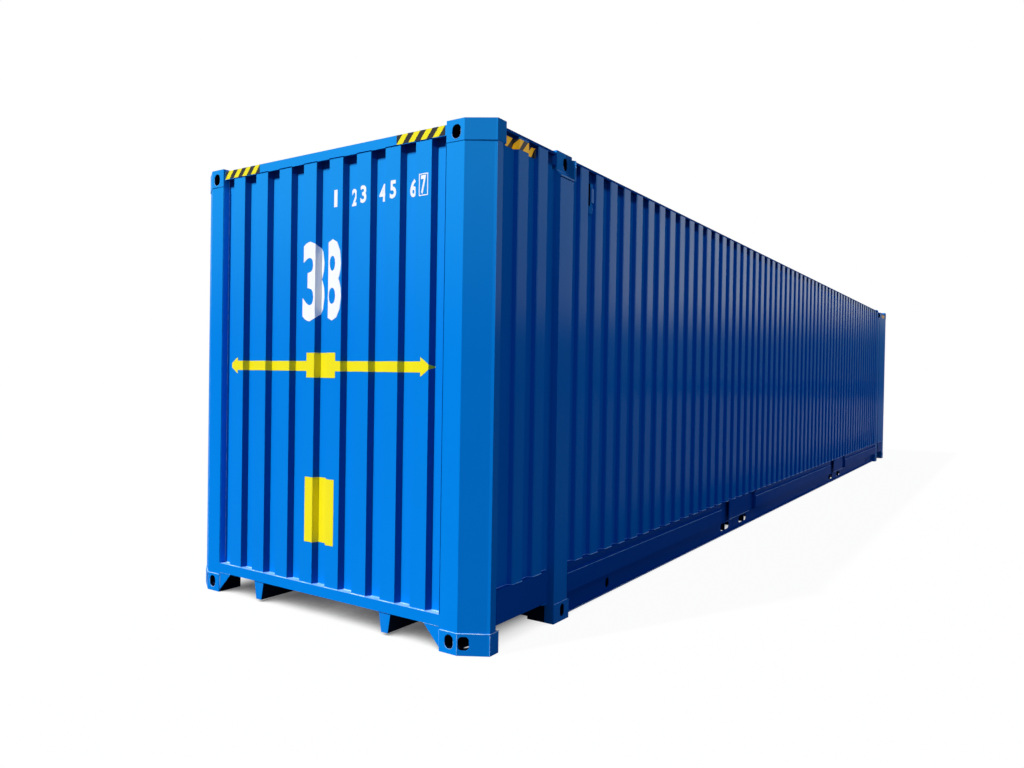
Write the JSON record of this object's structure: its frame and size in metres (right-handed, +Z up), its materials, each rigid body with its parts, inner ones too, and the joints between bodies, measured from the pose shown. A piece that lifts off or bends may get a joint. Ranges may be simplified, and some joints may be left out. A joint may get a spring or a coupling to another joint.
{
  "type": "shipping container",
  "caption": "Long pallet-wide steel cargo box with chamfered front corners, corrugated walls, inner lifting posts and castings, and double doors at the rear end.",
  "frame": {"origin": "centre of the footprint, at the level on which the bottom castings rest", "axes": "+X along the length from the blind front end to the doors, +Y across to the right side as seen facing the front, +Z up"},
  "size_m": [13.716, 2.5, 2.896],
  "materials": {
    "castings": "gloss paint on cast steel",
    "posts": "gloss paint on folded steel",
    "end_frame": "gloss paint on folded steel",
    "front_wall": "gloss paint on corrugated steel",
    "side_walls": "gloss paint on corrugated steel",
    "rails": "gloss paint on folded steel",
    "roof": "gloss paint on pressed steel",
    "underframe": "satin paint on folded steel",
    "floor": "sealed plywood",
    "doors": "gloss paint on corrugated steel",
    "gaskets": "matt black rubber",
    "door_gear": "zinc coated steel",
    "vents": "painted cover"
  },
  "bodies": {
    "root": {"bottom_rail_left": "rails", "bottom_rail_right": "rails", "cross_beams": "underframe", "door_gaskets": "gaskets", "door_handles": "door_gear", "door_hinges": "door_gear", "door_left": "doors", "door_right": "doors", "floor": "floor", "floor_beams": "underframe", "front_castings_bottom": "castings", "front_castings_top": "castings", "front_gussets": "end_frame", "front_header": "end_frame", "front_post_left": "posts", "front_post_right": "posts", "front_sill": "end_frame", "front_wall": "front_wall", "inner_castings_front_bottom": "castings", "inner_castings_front_top": "castings", "inner_castings_rear_bottom": "castings", "inner_castings_rear_top": "castings", "inner_posts_front": "posts", "inner_posts_rear": "posts", "locking_bars": "door_gear", "outriggers": "underframe", "overhang_rails_front": "rails", "overhang_rails_rear": "rails", "overhang_walls_front": "side_walls", "overhang_walls_rear": "side_walls", "rear_castings_bottom": "castings", "rear_castings_top": "castings", "rear_header": "end_frame", "rear_post_left": "posts", "rear_post_right": "posts", "rear_sill": "end_frame", "roof": "roof", "side_vents": "vents", "side_wall_left": "side_walls", "side_wall_right": "side_walls", "top_rail_left": "rails", "top_rail_right": "rails", "tunnel_beams": "underframe", "tunnel_members": "underframe", "tunnel_roof": "underframe"}
  },
  "joints": []
}
